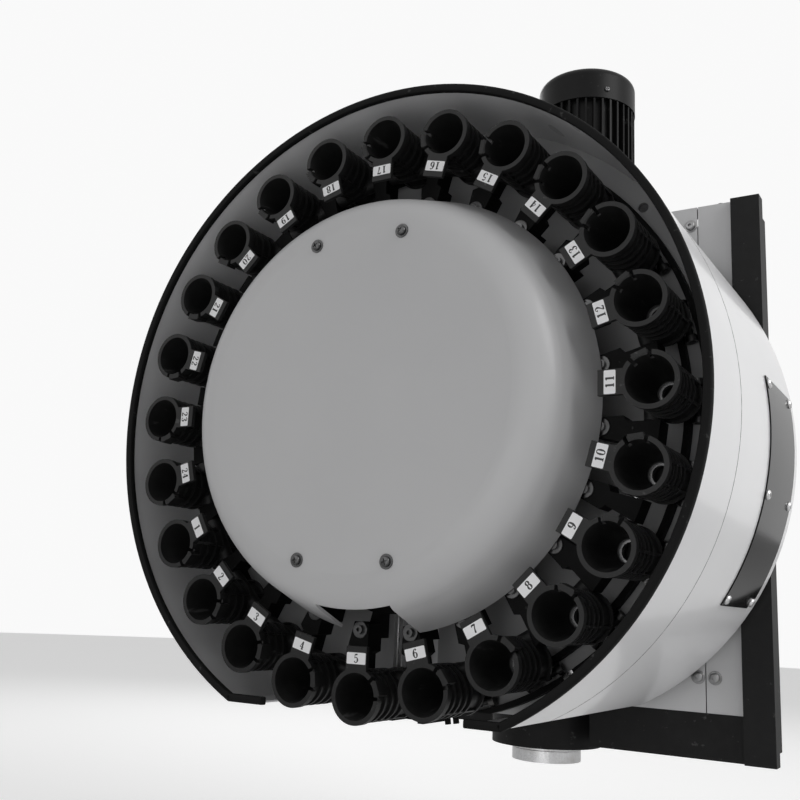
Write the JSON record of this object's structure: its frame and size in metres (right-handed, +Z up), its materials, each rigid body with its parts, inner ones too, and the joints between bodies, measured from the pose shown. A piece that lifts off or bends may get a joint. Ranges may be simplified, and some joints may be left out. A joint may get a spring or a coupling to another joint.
{
  "type": "disc tool magazine of a machining center",
  "caption": "Round drum tool magazine with numbered tilting pots, dished centre cover, open bottom, upright drive motor and a mounting bracket.",
  "frame": {"origin": "middle of the bolt pattern on the rear mounting face, on the drum's axis", "axes": "+Y out of the mounting face into the column, the drum looks along -Y; +Z up; +X to the right seen from the front"},
  "size_m": [0.7604, 0.669, 1.065],
  "materials": {
    "white_paint": "smooth satin powder coat",
    "grey_white_paint": "satin",
    "grey_paint": "satin",
    "black_rubber": "matt",
    "black_paint": "semi-matt on castings",
    "motor_black": "semi-matt",
    "black_plastic": "moulded, light sheen",
    "smoked_plastic": "polished",
    "ground_steel": "ground",
    "bare_aluminium": "anodised",
    "zinc_screw": "bright zinc"
  },
  "bodies": {
    "frame": {"front_shell": "white_paint", "rear_shell": "white_paint", "edge_trim": "black_rubber", "partition_plate": "grey_paint", "guide_rings": "black_paint", "side_strip": "smoked_plastic", "strip_screws": "zinc_screw", "centre_cover": "white_paint", "cover_screws": "zinc_screw", "cover_carrier": "black_paint", "spindle": "ground_steel", "index_motor": "motor_black", "flip_frame": "black_paint", "guide_rods": "ground_steel", "flip_cylinder": "bare_aluminium", "support_casting": "black_paint", "cam_box": "black_paint", "arm_motor": "motor_black", "fan_cowl": "motor_black", "mounting_bracket": "black_paint", "cover_panels": "grey_white_paint"},
    "magazine_disc": {"disc": "black_paint", "hub_bearings": "ground_steel", "pot_brackets": "black_paint", "pivot_pins": "ground_steel", "bracket_screws": "zinc_screw", "disc_gear": "ground_steel", "tail_rollers": "ground_steel", "grip_rings": "ground_steel", "pot_1": "black_plastic", "pot_2": "black_plastic", "pot_3": "black_plastic", "pot_4": "black_plastic", "pot_6": "black_plastic", "pot_7": "black_plastic", "pot_8": "black_plastic", "pot_9": "black_plastic", "pot_10": "black_plastic", "pot_11": "black_plastic", "pot_12": "black_plastic", "pot_13": "black_plastic", "pot_14": "black_plastic", "pot_15": "black_plastic", "pot_16": "black_plastic", "pot_17": "black_plastic", "pot_18": "black_plastic", "pot_19": "black_plastic", "pot_20": "black_plastic", "pot_21": "black_plastic", "pot_22": "black_plastic", "pot_23": "black_plastic", "pot_24": "black_plastic"},
    "change_pot": {"pot_5": "black_plastic", "tail_rollers_5": "ground_steel", "grip_ring_5": "ground_steel"},
    "flip_slide": {"flip_fork": "black_paint", "flip_piston": "ground_steel"},
    "index_pinion": {"pinion": "ground_steel"},
    "quill": {"arm_quill": "ground_steel"},
    "arm_drive": {"arm_spindle": "ground_steel"}
  },
  "joints": [
    {"name": "disc_spin", "type": "hinge", "parent": "frame", "child": "magazine_disc", "pos_m": [0, -0.55, 0], "axis": [0, 1, 0], "continuous": true},
    {"name": "pinion_turn", "type": "hinge", "parent": "frame", "child": "index_pinion", "pos_m": [0, -0.51, 0.18025], "axis": [0, 1, 0], "continuous": true},
    {"name": "fork_lift", "type": "slide", "parent": "frame", "child": "flip_slide", "axis": [0, 0, 1], "range_m": [0, 0.081]},
    {"name": "pot_flip", "type": "hinge", "parent": "magazine_disc", "child": "change_pot", "pos_m": [0, -0.558, -0.304], "axis": [1, 0, 0], "range_deg": [0, 90]},
    {"name": "arm_stroke", "type": "slide", "parent": "frame", "child": "quill", "axis": [0, 0, -1], "range_m": [0, 0.115]},
    {"name": "arm_turn", "type": "hinge", "parent": "quill", "child": "arm_drive", "pos_m": [0, -0.104, -0.4], "axis": [0, 0, 1], "continuous": true}
  ],
  "couplings": [
    {"joint": "pinion_turn", "follows": "disc_spin", "ratio": -4},
    {"joint": "pot_flip", "follows": "fork_lift", "rad_per_m": 19.392}
  ]
}
